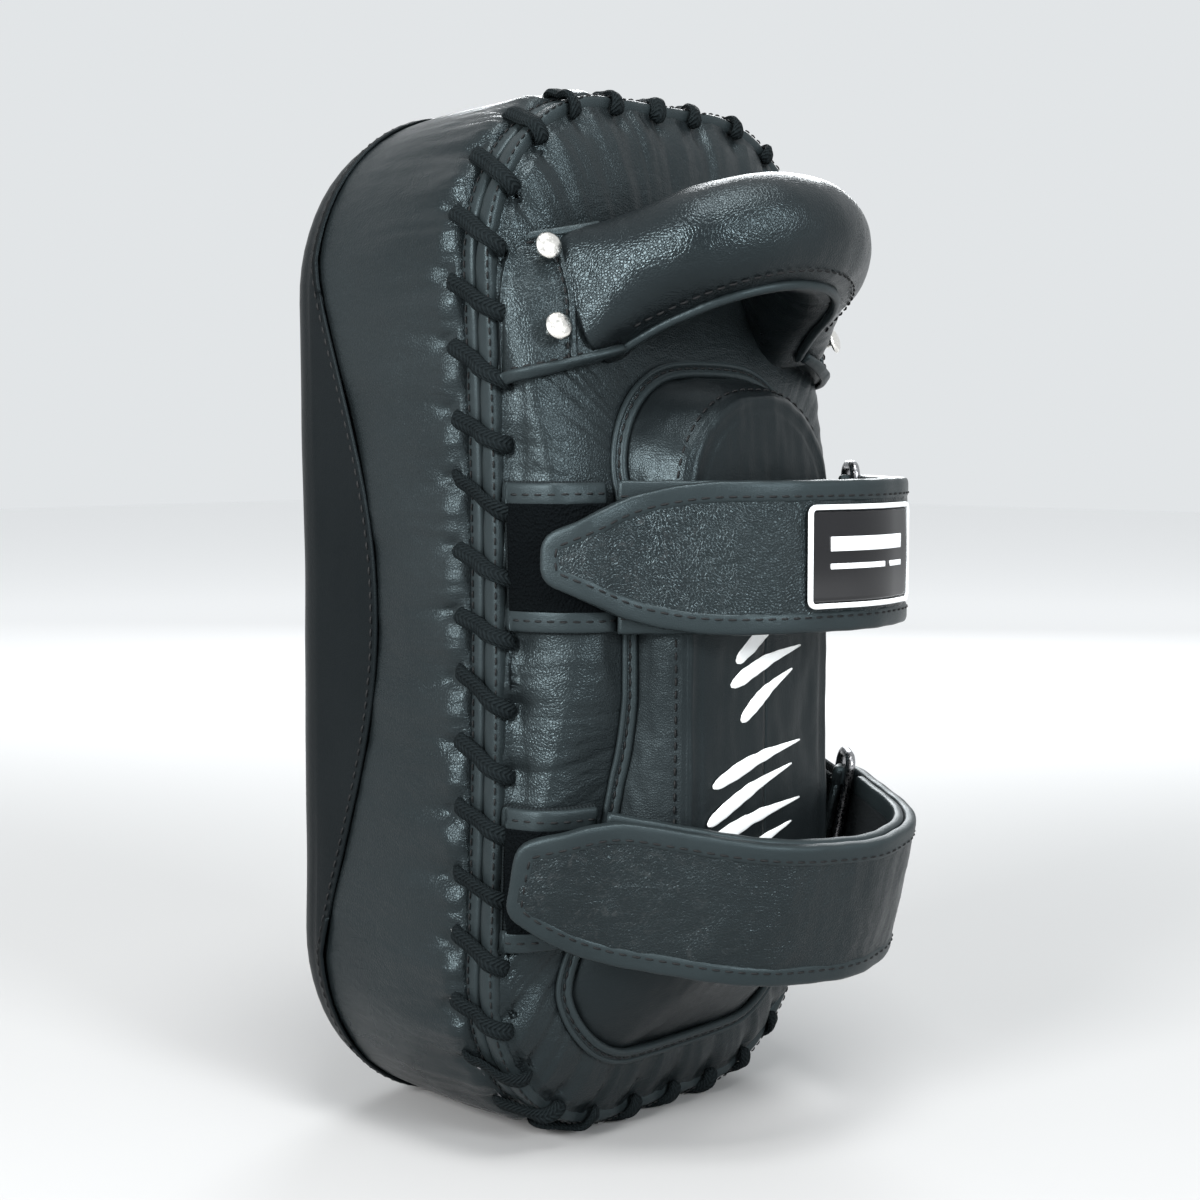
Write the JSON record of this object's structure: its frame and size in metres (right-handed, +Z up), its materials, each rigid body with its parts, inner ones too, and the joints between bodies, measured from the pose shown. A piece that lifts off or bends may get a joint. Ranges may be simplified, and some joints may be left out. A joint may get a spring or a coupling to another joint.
{
  "type": "thai pad",
  "caption": "Thick curved kick-training shield for the forearm, laced leather over foam, with grip handle, forearm cushion and two ring-and-tongue arm straps.",
  "frame": {"origin": "middle of the flat lower end that the pad stands on", "axes": "+Z up along the pad, +Y out of the strike face, X across the pad; the arm straps are on the -Y side"},
  "size_m": [0.1968, 0.2, 0.3946],
  "materials": {
    "cover_leather": "semi-gloss fine-grained synthetic leather",
    "strike_leather": "smooth satin synthetic leather",
    "cushion_leather": "matte fine-grained leather",
    "strap_leather": "semi-gloss wrinkled leather",
    "binding": "matte ribbed binding tape",
    "lace": "matte flat braided lace",
    "foam": "closed-cell foam",
    "loop_pile": "fuzzy loop pile",
    "hook_tape": "moulded hook tape",
    "webbing": "woven webbing faced with leather",
    "lining": "soft wrinkled textile lining",
    "rivet_metal": "bright nickel plate",
    "ring_metal": "dark nickel plated wire",
    "badge_gloss": "glossy raised panel",
    "badge_white": "matte moulded border"
  },
  "bodies": {
    "pad": {"back_panel": "cover_leather", "back_welt": "binding", "cushion_apron": "cover_leather", "cushion_foam": "foam", "cushion_top": "cushion_leather", "cushion_wall": "cover_leather", "edge_lacing": "lace", "foam_crown": "foam", "foam_front": "foam", "foam_middle": "foam", "foam_rear": "foam", "gusset_welt": "binding", "handle_core": "foam", "handle_cover": "cover_leather", "handle_piping": "binding", "left_handle_tab": "cover_leather", "lower_arm_lining": "lining", "lower_arm_strap": "strap_leather", "lower_keeper": "webbing", "lower_loop_pile": "loop_pile", "lower_loop_tab": "webbing", "right_handle_tab": "cover_leather", "rivet_burrs": "rivet_metal", "rivet_caps": "rivet_metal", "rivet_posts": "rivet_metal", "side_gusset": "cover_leather", "strike_cover": "strike_leather", "upper_arm_lining": "lining", "upper_arm_strap": "strap_leather", "upper_keeper": "webbing", "upper_loop_pile": "loop_pile", "upper_loop_tab": "webbing"},
    "upper_ring": {"upper_ring": "ring_metal"},
    "lower_ring": {"lower_ring": "ring_metal"},
    "upper_tongue": {"upper_tongue": "strap_leather", "upper_hook_patch": "hook_tape", "badge_plate": "badge_gloss", "badge_frame": "badge_white"},
    "lower_tongue": {"lower_tongue": "strap_leather", "lower_hook_patch": "hook_tape"}
  },
  "joints": [
    {"name": "upper_ring_swing", "type": "hinge", "parent": "pad", "child": "upper_ring", "pos_m": [0.085, -0.0814, 0.223], "axis": [0, 0, 1], "range_deg": [0, 22]},
    {"name": "upper_tongue_peel", "type": "hinge", "parent": "upper_ring", "child": "upper_tongue", "pos_m": [0.076, -0.0924, 0.223], "axis": [0, 0, 1], "range_deg": [0, 75]},
    {"name": "lower_ring_swing", "type": "hinge", "parent": "pad", "child": "lower_ring", "pos_m": [0.085, -0.07452, 0.10768], "axis": [0, -0.225, 0.9744], "range_deg": [0, 22]},
    {"name": "lower_tongue_peel", "type": "hinge", "parent": "lower_ring", "child": "lower_tongue", "pos_m": [0.076, -0.08524, 0.1052], "axis": [0, -0.225, 0.9744], "range_deg": [0, 75]}
  ]
}
